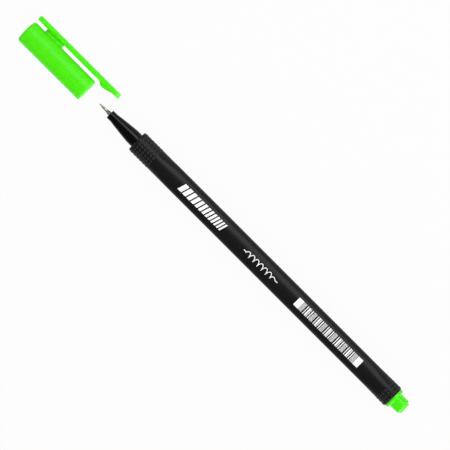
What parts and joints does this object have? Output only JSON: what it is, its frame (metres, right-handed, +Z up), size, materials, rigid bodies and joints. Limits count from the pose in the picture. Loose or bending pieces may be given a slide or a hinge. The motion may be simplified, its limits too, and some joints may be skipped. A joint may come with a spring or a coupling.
{
  "type": "fineliner pen",
  "caption": "Fineliner pen with a soft three-sided barrel, a steel-sleeved fibre point, a posting stub and a pull-off cap with a springing pocket clip.",
  "frame": {"origin": "on the pen's axis, at the end plug's flange face, where the posting stub starts", "axes": "+X along the pen from the nib to the end plug and out of the posting stub, +Z up from the table on which the pen lies, +Y to the side of the clip"},
  "size_m": [0.1825, 0.0117, 0.0086],
  "materials": {
    "barrel_black": "satin",
    "nose_black": "gloss",
    "steel": "satin",
    "nib_fibre": "matt",
    "reservoir_fibre": "matt",
    "film": "gloss",
    "green_plastic": "satin",
    "liner": "satin"
  },
  "bodies": {
    "pen": {"barrel": "barrel_black", "nose_section": "nose_black", "nib_sleeve": "steel", "fibre_nib": "nib_fibre", "ink_reservoir": "reservoir_fibre", "reservoir_film": "film", "end_plug": "green_plastic"},
    "cap": {"cap_shell": "green_plastic", "inner_cap": "liner"},
    "clip": {"pocket_clip": "green_plastic"}
  },
  "joints": [
    {"name": "cap_slide", "type": "slide", "parent": "pen", "child": "cap", "axis": [1, 0, 0], "range_m": [0, 0.0239]},
    {"name": "clip_flex", "type": "hinge", "parent": "cap", "child": "clip", "pos_m": [-0.1648, 0.00597, -0.00232], "axis": [0, 0.3623, 0.9321], "range_deg": [0, 5], "stiffness_Nm_per_rad": 1}
  ]
}
